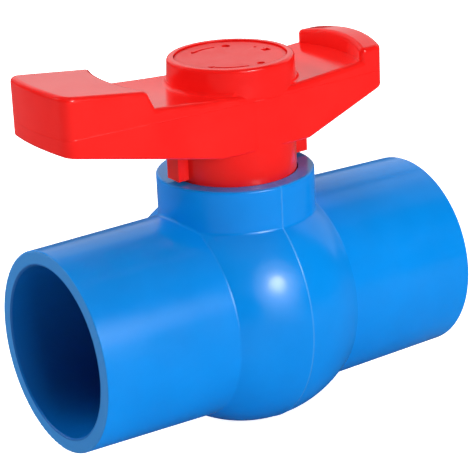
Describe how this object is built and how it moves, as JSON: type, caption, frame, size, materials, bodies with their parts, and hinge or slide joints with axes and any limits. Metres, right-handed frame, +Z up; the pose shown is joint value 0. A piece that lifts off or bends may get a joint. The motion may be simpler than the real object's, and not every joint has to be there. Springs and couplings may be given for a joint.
{
  "type": "ball valve",
  "caption": "Quarter-turn plastic ball valve for 50 mm pressure pipe, with plain solvent sockets, a round body and a two-winged lever in line with the pipe.",
  "frame": {"origin": "centre of the ball, where the pipe axis meets the stem axis", "axes": "+X along the pipe, the way the handle's short wing points when the valve is open; +Z up the stem to the handle; +Y across the pipe"},
  "size_m": [0.1288, 0.0734, 0.1142],
  "materials": {
    "blue_pvc": "gloss, injection moulded",
    "white_pvc": "polished",
    "grey_pvc": "satin, injection moulded",
    "white_ptfe": "waxy",
    "black_epdm": "matt",
    "red_abs": "semi-gloss, injection moulded",
    "stainless": "plain"
  },
  "bodies": {
    "body": {"valve_body": "blue_pvc", "seat_ring_left": "white_ptfe", "seat_cushion_oring_left": "black_epdm", "seat_carrier_left": "grey_pvc", "carrier_oring_left": "black_epdm", "seat_ring_right": "white_ptfe", "seat_cushion_oring_right": "black_epdm", "seat_carrier_right": "grey_pvc", "carrier_oring_right": "black_epdm"},
    "operator": {"stem": "grey_pvc", "stem_oring_lower": "black_epdm", "stem_oring_upper": "black_epdm", "thrust_washer": "white_ptfe", "handle": "red_abs", "handle_screw": "stainless", "screw_washer": "stainless", "handle_cap": "red_abs"},
    "ball": {"ball": "white_pvc"}
  },
  "joints": [
    {"name": "handle_turn", "type": "hinge", "parent": "body", "child": "operator", "pos_m": [0, 0, 0], "axis": [0, 0, 1], "range_deg": [-90, 0]},
    {"name": "ball_turn", "type": "hinge", "parent": "body", "child": "ball", "pos_m": [0, 0, 0], "axis": [0, 0, 1], "range_deg": [-90, 0]}
  ],
  "couplings": [
    {"joint": "ball_turn", "follows": "handle_turn", "ratio": 1}
  ]
}
